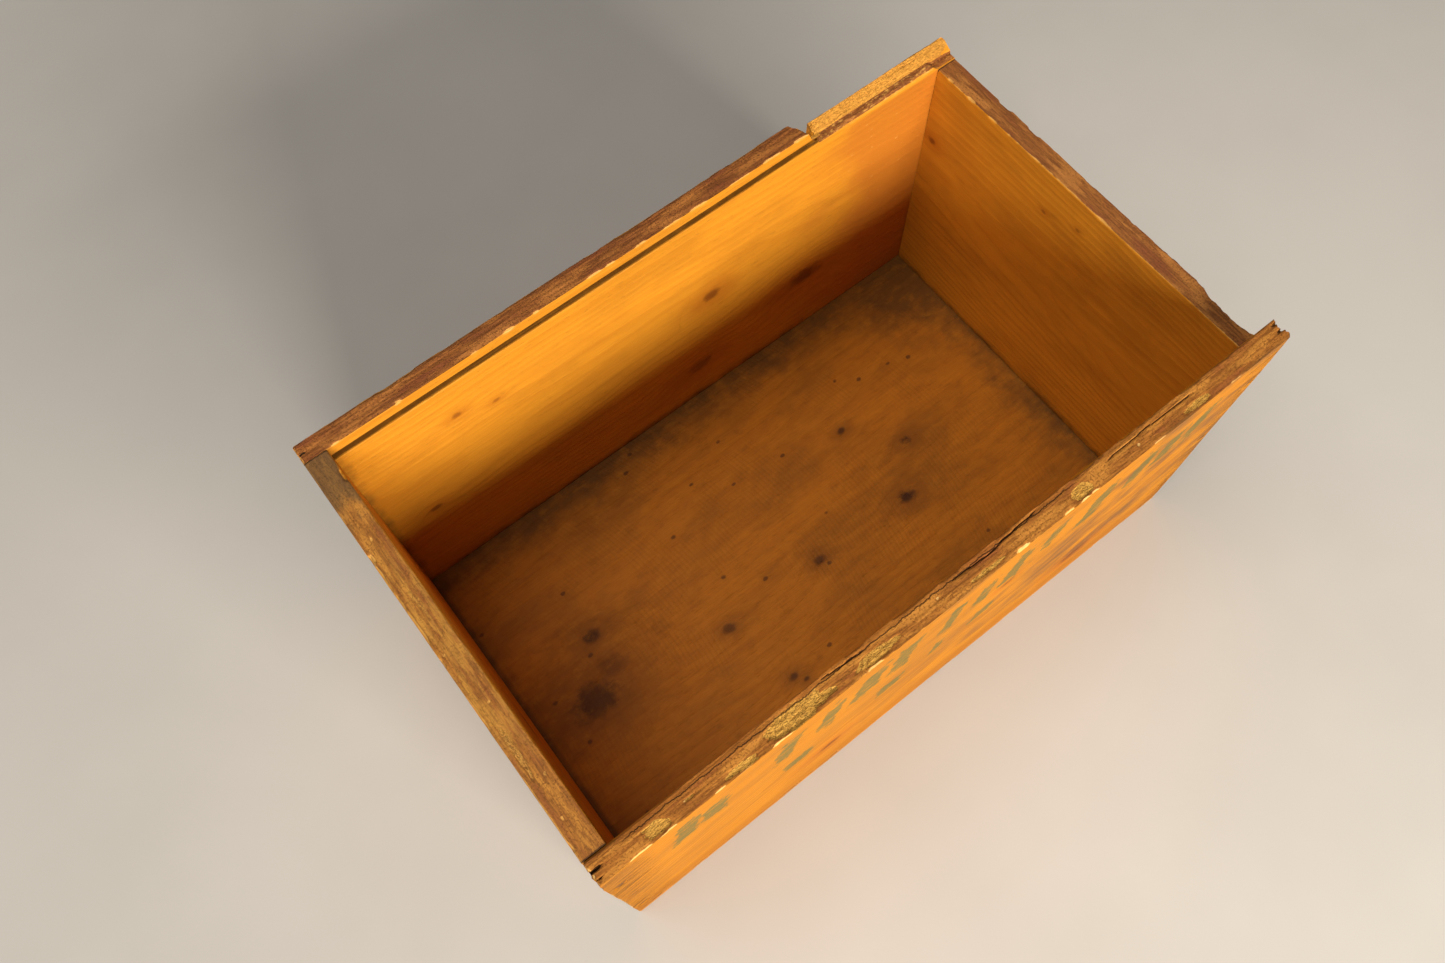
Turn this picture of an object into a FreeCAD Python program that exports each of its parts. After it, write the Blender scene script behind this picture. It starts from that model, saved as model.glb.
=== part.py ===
import FreeCAD, Part
import os
import Sketcher

# Old nailed pine box with a slot for a sliding lid.  All sizes are in millimetres.
# Frame: +X along the length towards the lid's entry end, +Y across the width, +Z up.
# Origin: the middle of the underside.  The lid itself is lost.

doc = FreeCAD.newDocument("sliding_lid_box")

# ---------------------------------------------------------------- driving dimensions

SIZES = [
    ("box_length", 340, "overall length"),
    ("box_width", 206, "overall width"),
    ("box_height", 174, "overall height"),
    ("side_thickness", 10, "both long side boards"),
    ("end_thickness", 10.5, "both end boards"),
    ("bottom_thickness", 7, "bottom board"),
    ("lip_height", 6.5, "wood above the lid groove"),
    ("groove_height", 4.5, "lid groove, floor to roof"),
    ("groove_depth", 4, "lid groove, into the board"),
    ("entry_drop", 3.5, "entry end's top, below the groove's floor"),
    ("break_length", 81, "split-off stretch of the far lip, from the entry end"),
    ("break_drop", 7, "split face's outer edge, below the rim"),
    ("notch_width", 12, "chip at the start of the split, along the rim"),
    ("notch_reach", 8, "the same chip, in from the outer face"),
    ("notch_drop", 16, "the same chip, down from the rim"),
    ("corner_nail_length", 32, "nails through the sides into the ends"),
    ("bottom_nail_length", 25, "nails up through the bottom board"),
    ("shank_diameter", 2, "nail shank"),
    ("head_diameter", 4.4, "nail head"),
    ("head_thickness", 0.9, "nail head, sunk flush"),
    ("tip_length", 3, "nail point"),
    ("nail_fit", 0.1, "room around a nail, on the radius"),
    ("tip_room", 0.5, "room beyond a nail's point"),
    ("nail_edge", 22, "outermost corner nails, from the end board's edges"),
    ("bottom_nail_edge", 26, "outermost bottom nails, from the box's ends"),
]
CORNER_NAIL_ROWS = 3
BOTTOM_NAILS_PER_SIDE = 5
BOTTOM_NAILS_PER_END = 2

sheet = doc.addObject("Spreadsheet::Sheet", "sizes")
for row, (alias, value, note) in enumerate(SIZES, start=1):
    sheet.set(f"A{row}", note)
    sheet.set(f"B{row}", str(value))
    sheet.setAlias(f"B{row}", alias)
doc.recompute()

# ---------------------------------------------------------------- shared measures

HALF_LENGTH = "sizes.box_length / 2"
HALF_WIDTH = "sizes.box_width / 2"
HALF_INNER_WIDTH = "(sizes.box_width / 2 - sizes.side_thickness)"
WALL_HEIGHT = "(sizes.box_height - sizes.bottom_thickness)"
GROOVE_ROOF = f"({WALL_HEIGHT} - sizes.lip_height)"
GROOVE_FLOOR = f"({GROOVE_ROOF} - sizes.groove_height)"
ENTRY_HEIGHT = f"({GROOVE_FLOOR} - sizes.entry_drop)"
SHANK_HOLE = "sizes.shank_diameter + 2 * sizes.nail_fit"
HEAD_RECESS = "sizes.head_diameter + 2 * sizes.nail_fit"
END_MIDDLE = "(sizes.box_length / 2 - sizes.end_thickness / 2)"
SIDE_MIDDLE = "(sizes.box_width / 2 - sizes.side_thickness / 2)"
ROW_PITCH = f"(({ENTRY_HEIGHT} - 2 * sizes.nail_edge) / {CORNER_NAIL_ROWS - 1})"
SIDE_NAIL_PITCH = f"((sizes.box_length - 2 * sizes.bottom_nail_edge) / {BOTTOM_NAILS_PER_SIDE - 1})"
END_NAIL_PITCH = f"(sizes.box_width / {BOTTOM_NAILS_PER_END + 1})"

corner_rows = [f"sizes.nail_edge + {row} * {ROW_PITCH}" for row in range(CORNER_NAIL_ROWS)]
side_nail_places = [
    f"{place} * {SIDE_NAIL_PITCH} - {HALF_LENGTH} + sizes.bottom_nail_edge"
    for place in range(BOTTOM_NAILS_PER_SIDE)
]
end_nail_places = [
    f"{place + 1} * {END_NAIL_PITCH} - {HALF_WIDTH}" for place in range(BOTTOM_NAILS_PER_END)
]

# ---------------------------------------------------------------- sketch and feature helpers


def new_body(label):
    body = doc.addObject("PartDesign::Body", label)
    body.Label = label
    return body


def origin_feature(body, role):
    return next(feature for feature in body.Origin.OriginFeatures if feature.Role == role)


def new_sketch(body, name, plane, offset=None):
    """A sketch on one of the body's own origin planes, moved along its normal by offset."""
    sketch = body.newObject("Sketcher::SketchObject", name)
    sketch.AttachmentSupport = (origin_feature(body, plane), [""])
    sketch.MapMode = "FlatFace"
    if offset:
        sketch.setExpression(".AttachmentOffset.Base.z", offset)
    return sketch


def place_point(sketch, curve, point, across, up):
    """Hold a point at two signed distances from the sketch's origin; None is on the axis."""
    for kind, axis, distance in (("DistanceX", -2, across), ("DistanceY", -1, up)):
        if distance is None:
            sketch.addConstraint(Sketcher.Constraint("PointOnObject", curve, point, axis))
        else:
            held = sketch.addConstraint(Sketcher.Constraint(kind, -1, 1, curve, point, 1.0))
            sketch.setExpression(f"Constraints[{held}]", distance)


def draw_polygon(sketch, corners):
    """A closed outline through corners, each a pair of expressions."""
    count = len(corners)
    for index in range(count):
        start = FreeCAD.Vector(1 + index, 1 + index * index, 0)
        end = FreeCAD.Vector(2 + index, 3 + index, 0)
        sketch.addGeometry(Part.LineSegment(start, end), False)
    for index, (across, up) in enumerate(corners):
        following = (index + 1) % count
        sketch.addConstraint(Sketcher.Constraint("Coincident", index, 2, following, 1))
        place_point(sketch, index, 1, across, up)


def draw_rectangle(sketch, left, right, low, high):
    draw_polygon(sketch, [(left, low), (right, low), (right, high), (left, high)])


def draw_circles(sketch, diameter, centres):
    up = FreeCAD.Vector(0, 0, 1)
    for across, height in centres:
        circle = sketch.addGeometry(Part.Circle(FreeCAD.Vector(1, 1, 0), up, 1.0), False)
        place_point(sketch, circle, 3, across, height)
        held = sketch.addConstraint(Sketcher.Constraint("Diameter", circle, 2.0))
        sketch.setExpression(f"Constraints[{held}]", diameter)


def pad(body, sketch, length, backwards=False):
    feature = body.newObject("PartDesign::Pad", sketch.Name + "_pad")
    feature.Profile = sketch
    feature.Reversed = backwards
    feature.setExpression("Length", length)
    doc.recompute()
    return feature


def pocket(body, sketch, depth=None, backwards=False):
    """Cut to a depth, or right through both ways without one, and make sure that it cut."""
    volume_before = body.Shape.Volume
    feature = body.newObject("PartDesign::Pocket", sketch.Name + "_pocket")
    feature.Profile = sketch
    feature.Reversed = backwards
    if depth:
        feature.setExpression("Length", depth)
    else:
        feature.Type = "ThroughAll"
        feature.Midplane = True
    doc.recompute()
    if body.Shape.Volume >= volume_before:
        raise RuntimeError(f"{feature.Name} cut nothing")
    return feature


def place(piece, across=None, along=None, up=None, turned=False):
    """Put a piece at (across, along, up); turned faces it the other way about +Z."""
    if turned:
        piece.Placement = FreeCAD.Placement(
            FreeCAD.Vector(0, 0, 0), FreeCAD.Rotation(FreeCAD.Vector(0, 0, 1), 180)
        )
    for name, distance in (("x", across), ("y", along), ("z", up)):
        if distance:
            piece.setExpression(f".Placement.Base.{name}", distance)


# ---------------------------------------------------------------- boards


def side_board(label):
    """A long side: outer face at y = 0, inner face towards +Y, lower edge at z = 0."""
    body = new_body(label)
    blank = new_sketch(body, label + "_blank", "XZ_Plane")
    draw_rectangle(blank, f"-{HALF_LENGTH}", HALF_LENGTH, None, WALL_HEIGHT)
    pad(body, blank, "sizes.side_thickness", backwards=True)

    groove = new_sketch(body, label + "_groove", "YZ_Plane")
    groove_back = "sizes.side_thickness - sizes.groove_depth"
    draw_rectangle(groove, groove_back, "sizes.side_thickness", GROOVE_FLOOR, GROOVE_ROOF)
    pocket(body, groove)

    corner_nails = [(sign + END_MIDDLE, height) for sign in ("-", "") for height in corner_rows]
    shanks = new_sketch(body, label + "_shanks", "XZ_Plane")
    draw_circles(shanks, SHANK_HOLE, corner_nails)
    pocket(body, shanks)
    heads = new_sketch(body, label + "_heads", "XZ_Plane")
    draw_circles(heads, HEAD_RECESS, corner_nails)
    pocket(body, heads, "sizes.head_thickness")

    lower_edge = new_sketch(body, label + "_lower_edge", "XY_Plane")
    edge_nails = [(distance, "sizes.side_thickness / 2") for distance in side_nail_places]
    draw_circles(lower_edge, SHANK_HOLE, edge_nails)
    nail_reach = "sizes.bottom_nail_length - sizes.bottom_thickness + sizes.tip_room"
    pocket(body, lower_edge, nail_reach, backwards=True)
    return body


def split_rim(body):
    """The rim's split-off stretch and the chip that it starts from, at the board's -X end."""
    label = body.Label
    split = new_sketch(body, label + "_split", "YZ_Plane", offset=f"-{HALF_LENGTH}")
    groove_back = "sizes.side_thickness - sizes.groove_depth"
    outline = [
        (None, f"{WALL_HEIGHT} - sizes.break_drop"),
        (groove_back, GROOVE_FLOOR),
        ("sizes.side_thickness", GROOVE_FLOOR),
        ("sizes.side_thickness", WALL_HEIGHT),
        (None, WALL_HEIGHT),
    ]
    draw_polygon(split, outline)
    pocket(body, split, "sizes.break_length", backwards=True)

    notch = new_sketch(body, label + "_notch", "XY_Plane", offset=WALL_HEIGHT)
    start = f"sizes.break_length - {HALF_LENGTH}"
    outline = [
        (start, None),
        (f"{start} + sizes.notch_width", None),
        (f"{start} + sizes.notch_width / 2", "sizes.notch_reach"),
        (start, "sizes.notch_reach"),
    ]
    draw_polygon(notch, outline)
    pocket(body, notch, "sizes.notch_drop")


def end_board(label, height, grooved):
    """An end between the sides: outer face at x = 0, inner face towards +X."""
    body = new_body(label)
    blank = new_sketch(body, label + "_blank", "YZ_Plane")
    draw_rectangle(blank, f"-{HALF_INNER_WIDTH}", HALF_INNER_WIDTH, None, height)
    pad(body, blank, "sizes.end_thickness")

    if grooved:
        groove = new_sketch(body, label + "_groove", "XZ_Plane")
        groove_back = "sizes.end_thickness - sizes.groove_depth"
        draw_rectangle(groove, groove_back, "sizes.end_thickness", GROOVE_FLOOR, GROOVE_ROOF)
        pocket(body, groove)

    nail_reach = "sizes.corner_nail_length - sizes.side_thickness + sizes.tip_room"
    row_centres = [("sizes.end_thickness / 2", height) for height in corner_rows]
    for side, offset, backwards in (
        ("near", HALF_INNER_WIDTH, False),
        ("far", f"-{HALF_INNER_WIDTH}", True),
    ):
        end_grain = new_sketch(body, f"{label}_{side}_holes", "XZ_Plane", offset=offset)
        draw_circles(end_grain, SHANK_HOLE, row_centres)
        pocket(body, end_grain, nail_reach, backwards=backwards)

    lower_edge = new_sketch(body, label + "_lower_edge", "XY_Plane")
    edge_nails = [("sizes.end_thickness / 2", distance) for distance in end_nail_places]
    draw_circles(lower_edge, SHANK_HOLE, edge_nails)
    nail_reach = "sizes.bottom_nail_length - sizes.bottom_thickness + sizes.tip_room"
    pocket(body, lower_edge, nail_reach, backwards=True)
    return body


def bottom_board(label):
    """The bottom, nailed under the sides and ends and flush with them all round."""
    body = new_body(label)
    blank = new_sketch(body, label + "_blank", "XY_Plane")
    draw_rectangle(blank, f"-{HALF_LENGTH}", HALF_LENGTH, f"-{HALF_WIDTH}", HALF_WIDTH)
    pad(body, blank, "sizes.bottom_thickness")

    nails = [(distance, sign + SIDE_MIDDLE) for distance in side_nail_places for sign in ("-", "")]
    nails += [(sign + END_MIDDLE, distance) for distance in end_nail_places for sign in ("-", "")]
    shanks = new_sketch(body, label + "_shanks", "XY_Plane")
    draw_circles(shanks, SHANK_HOLE, nails)
    pocket(body, shanks)
    heads = new_sketch(body, label + "_heads", "XY_Plane")
    draw_circles(heads, HEAD_RECESS, nails)
    pocket(body, heads, "sizes.head_thickness", backwards=True)
    return body


# ---------------------------------------------------------------- nails


def nail_row(label, plane, length, row_axis, count, pitch):
    """Equal nails in a row, heads at zero; each points along its plane's second axis."""
    body = new_body(label)
    body.AllowCompound = True
    profile = new_sketch(body, label + "_profile", plane)
    outline = [
        (None, None),
        ("sizes.head_diameter / 2", None),
        ("sizes.head_diameter / 2", "sizes.head_thickness"),
        ("sizes.shank_diameter / 2", "sizes.head_thickness"),
        ("sizes.shank_diameter / 2", f"{length} - sizes.tip_length"),
        (None, length),
    ]
    draw_polygon(profile, outline)
    nail = body.newObject("PartDesign::Revolution", label + "_nail")
    nail.Profile = profile
    nail.ReferenceAxis = (profile, ["V_Axis"])
    nail.Angle = 360.0
    doc.recompute()

    row = body.newObject("PartDesign::LinearPattern", label + "_row")
    row.Originals = [nail]
    row.Direction = (origin_feature(body, row_axis), [""])
    row.Occurrences = count
    row.setExpression("Length", f"{count - 1} * {pitch}")
    body.Tip = row
    doc.recompute()
    return body


# ---------------------------------------------------------------- the box

boards = {
    "near_side_board": side_board("near_side_board"),
    "far_side_board": side_board("far_side_board"),
    "left_end_board": end_board("left_end_board", WALL_HEIGHT, grooved=True),
    "right_end_board": end_board("right_end_board", ENTRY_HEIGHT, grooved=False),
    "bottom_board": bottom_board("bottom_board"),
}
split_rim(boards["far_side_board"])

ON_BOTTOM = "sizes.bottom_thickness"
place(boards["near_side_board"], along=f"-{HALF_WIDTH}", up=ON_BOTTOM)
place(boards["far_side_board"], along=HALF_WIDTH, up=ON_BOTTOM, turned=True)
place(boards["left_end_board"], across=f"-{HALF_LENGTH}", up=ON_BOTTOM)
place(boards["right_end_board"], across=HALF_LENGTH, up=ON_BOTTOM, turned=True)

nail_rows = []
for end, end_sign in (("left", "-"), ("right", "")):
    for side, side_sign, turned in (("near", "-", False), ("far", "", True)):
        row = nail_row(
            f"corner_nails_{side}_{end}", "XY_Plane", "sizes.corner_nail_length",
            "Z_Axis", CORNER_NAIL_ROWS, ROW_PITCH,
        )
        place(
            row, across=end_sign + END_MIDDLE, along=side_sign + HALF_WIDTH,
            up=f"{ON_BOTTOM} + sizes.nail_edge", turned=turned,
        )
        nail_rows.append(row)

for side, sign in (("near", "-"), ("far", "")):
    row = nail_row(
        f"bottom_nails_{side}", "XZ_Plane", "sizes.bottom_nail_length",
        "X_Axis", BOTTOM_NAILS_PER_SIDE, SIDE_NAIL_PITCH,
    )
    place(row, across=side_nail_places[0], along=sign + SIDE_MIDDLE)
    nail_rows.append(row)

for end, sign in (("left", "-"), ("right", "")):
    row = nail_row(
        f"bottom_nails_{end}", "XZ_Plane", "sizes.bottom_nail_length",
        "Y_Axis", BOTTOM_NAILS_PER_END, END_NAIL_PITCH,
    )
    place(row, across=sign + END_MIDDLE, along=end_nail_places[0])
    nail_rows.append(row)

# ---------------------------------------------------------------- checks and export

doc.recompute()
for item in doc.Objects:
    if "Invalid" in item.State or "Error" in item.State:
        raise RuntimeError(f"{item.Label} failed: {item.State}")

pieces = list(boards.values()) + nail_rows
solids_expected = {row.Label: row.Tip.Occurrences for row in nail_rows}
for piece in pieces:
    if piece.Shape.isNull() or not piece.Shape.isValid():
        raise RuntimeError(f"{piece.Label} has no valid shape")
    if len(piece.Shape.Solids) != solids_expected.get(piece.Label, 1):
        raise RuntimeError(f"{piece.Label} has {len(piece.Shape.Solids)} solids")

os.makedirs("parts", exist_ok=True)
for piece in pieces:
    piece.Shape.exportStep(f"parts/{piece.Label}.step")
    box = piece.Shape.BoundBox
    print(
        f"{piece.Label:24s} x {box.XMin:8.2f} {box.XMax:8.2f}  y {box.YMin:8.2f} {box.YMax:8.2f}"
        f"  z {box.ZMin:7.2f} {box.ZMax:7.2f}  volume {piece.Shape.Volume / 1000:8.2f} cm3"
    )
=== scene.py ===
import math

import bmesh
import bpy
import numpy as np
from mathutils import Matrix, Vector
from mathutils.geometry import delaunay_2d_cdt


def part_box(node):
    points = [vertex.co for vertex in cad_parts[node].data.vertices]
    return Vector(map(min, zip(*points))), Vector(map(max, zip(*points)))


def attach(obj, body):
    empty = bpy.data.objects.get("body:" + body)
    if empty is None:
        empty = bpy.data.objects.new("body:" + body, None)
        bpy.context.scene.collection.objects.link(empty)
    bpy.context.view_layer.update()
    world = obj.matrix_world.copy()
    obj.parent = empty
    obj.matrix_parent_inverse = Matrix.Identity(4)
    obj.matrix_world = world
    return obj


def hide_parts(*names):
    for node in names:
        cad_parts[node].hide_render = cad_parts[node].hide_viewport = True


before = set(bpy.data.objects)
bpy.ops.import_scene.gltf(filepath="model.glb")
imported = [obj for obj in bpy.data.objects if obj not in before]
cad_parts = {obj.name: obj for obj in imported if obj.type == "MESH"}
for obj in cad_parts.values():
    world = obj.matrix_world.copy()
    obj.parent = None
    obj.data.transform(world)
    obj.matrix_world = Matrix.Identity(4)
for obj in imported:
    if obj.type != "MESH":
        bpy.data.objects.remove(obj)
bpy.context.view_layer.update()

# An old pine box with a slot for a sliding lid.  Lengths here are millimetres, turned into
# Blender's metres when a mesh is made.  The grain runs along X in the sides and the bottom,
# and along Y in the ends.

MM = 0.001


def node_box(node):
    """Lowest and highest corner of a CAD node, in millimetres."""
    low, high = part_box(node)
    return np.array(low) / MM, np.array(high) / MM


NEAR_LOW, NEAR_HIGH = node_box("near_side_board")
FAR_LOW, FAR_HIGH = node_box("far_side_board")
LEFT_LOW, LEFT_HIGH = node_box("left_end_board")
RIGHT_LOW, RIGHT_HIGH = node_box("right_end_board")
BOTTOM_LOW, BOTTOM_HIGH = node_box("bottom_board")
RIM = NEAR_HIGH[2]
HALF_LENGTH = BOTTOM_HIGH[0]
FLOOR = BOTTOM_HIGH[2]

LIP_HEIGHT = 6.5
GROOVE_HEIGHT = 4.5
GROOVE_DEPTH = 4.0
GROOVE_ROOF = RIM - LIP_HEIGHT
GROOVE_FLOOR = GROOVE_ROOF - GROOVE_HEIGHT
BREAK_LENGTH = 81.0
BREAK_START = HALF_LENGTH - BREAK_LENGTH
BREAK_DROP = 7.0
NOTCH_WIDTH = 12.0
NOTCH_REACH = 8.0
NOTCH_DROP = 16.0
HEAD_RADIUS = 2.2
CORNER_ROWS = 3
BOTTOM_PER_SIDE = 5
BOTTOM_PER_END = 2

# The size of a noise cell along a direction in which nothing should vary.
ENDLESS = 900.0

# ---------------------------------------------------------------- noise

LATTICE = np.random.default_rng(11).random((48, 48, 48))


def noise(points, seed=0):
    """Smooth noise from -1 to 1, one cell to a unit, at rows of three numbers."""
    moved = points + np.array((17.31, 5.97, 11.13)) * (seed + 1)
    cell = np.floor(moved).astype(int)
    part = moved - cell
    part = part * part * (3 - 2 * part)
    total = np.zeros(len(points))
    for corner in np.ndindex(2, 2, 2):
        weight = np.prod(np.where(corner, part, 1 - part), axis=1)
        x, y, z = ((cell + corner) % len(LATTICE)).T
        total += weight * LATTICE[x, y, z]
    return 2 * total - 1


def fractal(points, size, seed=0, octaves=3):
    """Layers of noise; size is the largest layer's cell along x, y and z."""
    scaled = points / np.array(size, float)
    return sum(noise(scaled * 2**layer, seed + 7 * layer) / 2**layer for layer in range(octaves))


def ramp(values, low, high):
    """0 below low, 1 above high, and a smooth rise between."""
    part = np.clip((values - low) / (high - low), 0, 1)
    return part * part * (3 - 2 * part)


# ---------------------------------------------------------------- meshes


def make_object(name, points, faces):
    mesh = bpy.data.meshes.new(name)
    mesh.from_pydata((np.array(points) * MM).tolist(), [], faces)
    obj = bpy.data.objects.new(name, mesh)
    bpy.context.scene.collection.objects.link(obj)
    tidy = bmesh.new()
    tidy.from_mesh(mesh)
    bmesh.ops.recalc_face_normals(tidy, faces=tidy.faces)
    tidy.to_mesh(mesh)
    tidy.free()
    return obj


def rounded_outline(corners, radius, step):
    """A closed outline with rounded corners; step(point) is the spacing wanted there."""
    corners = [np.array(corner, float) for corner in corners]
    arcs = []
    for index, corner in enumerate(corners):
        before = corners[index - 1] - corner
        after = corners[(index + 1) % len(corners)] - corner
        start = corner + radius * before / np.linalg.norm(before)
        end = corner + radius * after / np.linalg.norm(after)
        turn = np.linspace(0, 1, 4)[:, None]
        arcs.append((1 - turn) ** 2 * start + 2 * turn * (1 - turn) * corner + turn**2 * end)
    points = []
    for index, arc in enumerate(arcs):
        points.extend(arc)
        start, end = arc[-1], arcs[(index + 1) % len(arcs)][0]
        run = np.linalg.norm(end - start)
        places = [0.0]
        while places[-1] < run:
            here = start + (end - start) * places[-1] / run
            places.append(places[-1] + step(here))
        inner = np.array(places[1:-1]) * run / places[-1]
        points.extend(start + (end - start) * place / run for place in inner)
    return np.array(points)


def stations(low, high, fine, coarse, fine_reach):
    """Places along a board, close together near its two ends."""
    places = [low]
    while places[-1] < high:
        to_end = min(places[-1] - low, high - places[-1])
        places.append(places[-1] + (fine if to_end < fine_reach else coarse))
    places = np.array(places)
    return low + (places - low) * (high - low) / (places[-1] - low)


def cap_triangles(outline, spacing, rng):
    """Inner points and triangles that fill an outline."""
    low, high = outline.min(0), outline.max(0)
    across, up = np.meshgrid(np.arange(low[0], high[0], spacing), np.arange(low[1], high[1], spacing))
    inner = np.column_stack((across.ravel(), up.ravel()))
    inner += rng.uniform(-0.3, 0.3, inner.shape) * spacing
    gap = np.array([np.min(np.sum((outline - point) ** 2, axis=1)) for point in inner])
    inner = inner[gap > (0.5 * spacing) ** 2]
    size = len(outline)
    edges = [(index, (index + 1) % size) for index in range(size)]
    flat = [Vector(point) for point in np.vstack((outline, inner))]
    points, _, faces, sources, _, _ = delaunay_2d_cdt(flat, edges, [], 1, 1e-6)
    used = sorted({corner for face in faces for corner in face})
    number, extra = {}, []
    for corner in used:
        source = min(sources[corner]) if sources[corner] else size
        if source < size:
            number[corner] = source
        else:
            number[corner] = size + len(extra)
            extra.append(tuple(points[corner]))
    return np.array(extra).reshape(-1, 2), [[number[corner] for corner in face] for face in faces]


def swept(name, outline, places, grain, cap_spacing=1.6):
    """A solid bar: the outline (across, up) at each place along the grain, X or Y."""
    size, rows = len(outline), len(places)
    ring = np.arange(size)
    following = (ring + 1) % size
    faces = []
    for row in range(rows - 1):
        here, there = row * size, (row + 1) * size
        quads = (here + ring, here + following, there + following, there + ring)
        faces.extend(np.column_stack(quads).tolist())
    along = [np.repeat(places, size)]
    section = [np.tile(outline, (rows, 1))]
    extra, triangles = cap_triangles(outline, cap_spacing, np.random.default_rng(5))
    count = size * rows
    for row, place in ((0, places[0]), (rows - 1, places[-1])):
        along.append(np.full(len(extra), place))
        section.append(extra)
        first = count - size
        faces.extend([[row * size + c if c < size else first + c for c in face] for face in triangles])
        count += len(extra)
    along, section = np.concatenate(along), np.vstack(section)
    columns = (along, section[:, 0]) if grain == "X" else (section[:, 0], along)
    return make_object(name, np.column_stack((*columns, section[:, 1])), faces)


def cut_away(obj, cutter):
    """Takes the cutter's volume out of obj, and the cutter out of the scene."""
    cut = obj.modifiers.new("cut", "BOOLEAN")
    cut.operation = "DIFFERENCE"
    cut.solver = "EXACT"
    cut.object = cutter
    shown = obj.evaluated_get(bpy.context.evaluated_depsgraph_get())
    mesh = bpy.data.meshes.new_from_object(shown)
    obj.modifiers.clear()
    obj.data = mesh
    mesh.materials.clear()
    bpy.data.objects.remove(cutter)


class Piece:
    """A board being worn: its points and facings, in millimetres, and its painted values."""

    def __init__(self, obj, grain):
        self.obj = obj
        self.grain = grain
        self.points = self.read("vertices", "co") / MM
        self.facing = self.read("vertices", "normal")
        self.paint = {}

    def read(self, items, field):
        found = getattr(self.obj.data, items)
        values = np.zeros(len(found) * 3)
        found.foreach_get(field, values)
        return values.reshape(-1, 3)

    @property
    def along(self):
        return self.points[:, 0 if self.grain == "X" else 1]

    def grained(self, along, across):
        """A noise cell that is long with the grain and short across it."""
        return (along, across, across) if self.grain == "X" else (across, along, across)

    def mark(self, name, values):
        """Paints a value on the points, over a lower one only."""
        before = self.paint.get(name, np.zeros(len(self.points)))
        self.paint[name] = np.maximum(before, values)

    def push(self, distance):
        """Moves points out along their facings, or in where distance is negative."""
        self.points = self.points + self.facing * np.asarray(distance)[:, None]

    def shave(self, corner, outward, depth):
        """Takes off what stands beyond a plane depth inside a corner; depth is per point."""
        outward = np.array(outward, float)
        outward /= np.linalg.norm(outward)
        over = self.points @ outward - (np.array(corner) @ outward - depth)
        here = (depth > 0) & (np.abs((self.points - corner) @ np.abs(outward)) < 9)
        over = np.where(here, np.clip(over, 0, 6), 0)
        self.points = self.points - over[:, None] * outward
        return over

    def settle(self):
        """Writes the worn points and the painted values to the mesh."""
        mesh = self.obj.data
        mesh.vertices.foreach_set("co", (self.points * MM).ravel())
        for name, values in self.paint.items():
            layer = mesh.attributes.new(name, "FLOAT", "POINT")
            layer.data.foreach_set("value", values.astype(np.float32))
        mesh.polygons.foreach_set("use_smooth", np.ones(len(mesh.polygons), bool))
        mesh.set_sharp_from_angle(angle=math.radians(42))
        mesh.update()
        return self.obj


def bite_depth(along, chips):
    """How deep an arris is chipped at each place; a chip is (middle, half length, depth)."""
    depth = np.zeros(len(along))
    for middle, reach, deepest in chips:
        off = np.abs(along - middle) / reach
        depth = np.maximum(depth, deepest * np.clip(1.15 * (1 - off**3), 0, 1))
    return depth


def random_chips(rng, low, high, count, reach, depth):
    return [(rng.uniform(low, high), rng.uniform(*reach), rng.uniform(*depth)) for _ in range(count)]


def bow(piece, amount, size, seed):
    """Bends a board's faces a little in and out, never past where they were."""
    piece.push(amount * fractal(piece.points, size, seed, octaves=2) - amount)


def wear_arris(piece, corner, outward, rounding, chips, seed, pale=0.6, fresh=1.0, only=1.0):
    """Rounds an arris unevenly and takes chips out of it.

    pale and fresh are how light the rounding and the chips look; only limits the points worn.
    """
    rough = fractal(piece.points, piece.grained(7, 2.2), seed)
    slow = fractal(piece.points, piece.grained(38, 30), seed + 3, octaves=2)
    low, high = rounding
    depth = low + (high - low) * np.clip(0.5 + 0.6 * slow + 0.35 * rough, 0, 1)
    over = piece.shave(corner, outward, depth * only)
    piece.mark("arris", pale * ramp(over, 0.005, 0.07))
    bites = bite_depth(piece.along + 0.8 * rough, chips)
    bites = np.where(bites > 0, np.clip(bites * (1 + 0.35 * rough), 0.01, None), 0)
    over = piece.shave(corner, outward, (bites + low * (bites > 0)) * only)
    piece.mark("arris", fresh * ramp(over, 0.08, 0.3))
    return over


def flake_off(piece, level, middle, reach, depth, seed, strength=1.0):
    """A shallow flake lifted from an upward face; middle and reach are (x, y) pairs."""
    flat = piece.points[:, :2]
    off = np.linalg.norm((flat - np.array(middle)) / np.array(reach), axis=1)
    edge = off + 0.33 * fractal(piece.points, piece.grained(6, 2.0), seed) - 1
    inside = ramp(-edge, 0.0, 0.1) * (piece.points[:, 2] > level - 1.5) * (piece.facing[:, 2] > 0.3)
    pits = 1 + 0.4 * fractal(piece.points, (0.9, 0.7, 1), seed + 2, octaves=2)
    from_face = np.abs(piece.points[:, 0 if piece.grain == "Y" else 1])
    kept = ramp(from_face.max() - from_face, 0.2, 1.8)
    piece.points[:, 2] -= depth * inside * pits * kept
    piece.mark("raw", inside * strength)


def dab(piece, level, centre, radius):
    """A small pale speck on an upward face, where a splinter's end has broken."""
    off = np.linalg.norm(piece.points[:, :2] - np.array(centre), axis=1)
    speck = ramp(radius - off, 0, 0.5 * radius) * (piece.points[:, 2] > level - 1.5)
    piece.mark("arris", 1.4 * speck)
    piece.points[:, 2] -= 0.2 * speck


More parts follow.
